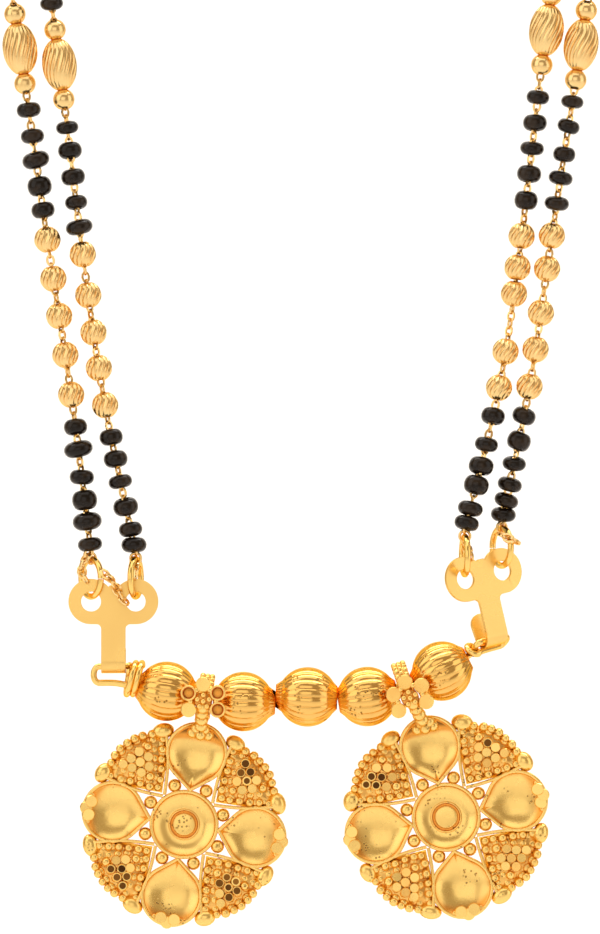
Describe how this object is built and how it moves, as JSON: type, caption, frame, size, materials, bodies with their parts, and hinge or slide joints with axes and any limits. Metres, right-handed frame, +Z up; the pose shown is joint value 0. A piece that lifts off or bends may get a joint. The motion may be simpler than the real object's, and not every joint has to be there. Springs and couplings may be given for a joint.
{
  "type": "mangalsutra",
  "caption": "Two long strands of gold and black beads, hooked to a wire bar that carries fluted beads and two granulated rosette pendants.",
  "frame": {"origin": "where the two strands rest on the nape, midway between them", "axes": "+Z up, the front of the necklace and its pendants face -Y, +X to the viewer's right seen from the front"},
  "size_m": [0.1045, 0.0818, 0.245],
  "materials": {
    "chain_gold": "polished gold plate",
    "wire_gold": "polished gold plate",
    "cut_gold": "diamond-cut gold plate",
    "bead_gold": "mirror-polished gold plate",
    "plate_gold": "mirror-polished gold plate",
    "pendant_gold": "polished and bright-cut gold plate",
    "black_glass": "glossy black glass"
  },
  "bodies": {
    "strands_and_bar": {"outer_chain": "chain_gold", "inner_chain": "chain_gold", "outer_gold_beads": "cut_gold", "inner_gold_beads": "cut_gold", "ring_1": "wire_gold", "ring_2": "wire_gold", "ring_3": "wire_gold", "ring_4": "wire_gold", "left_hook_plate": "plate_gold", "right_hook_plate": "plate_gold", "bar_wire": "wire_gold", "fluted_bead_1": "bead_gold", "fluted_bead_2": "bead_gold", "fluted_bead_3": "bead_gold", "fluted_bead_4": "bead_gold", "fluted_bead_5": "bead_gold"},
    "left_vati": {"left_pendant": "pendant_gold"},
    "right_vati": {"right_pendant": "pendant_gold"}
  },
  "joints": [
    {"name": "left_swing", "type": "hinge", "parent": "strands_and_bar", "child": "left_vati", "pos_m": [-0.01191, -0.07375, -0.2123], "axis": [-0.9911, 0, 0.1329], "range_deg": [-35, 80]},
    {"name": "right_swing", "type": "hinge", "parent": "strands_and_bar", "child": "right_vati", "pos_m": [0.0114, -0.07375, -0.21083], "axis": [-0.9464, 0, -0.3231], "range_deg": [-35, 80]}
  ]
}
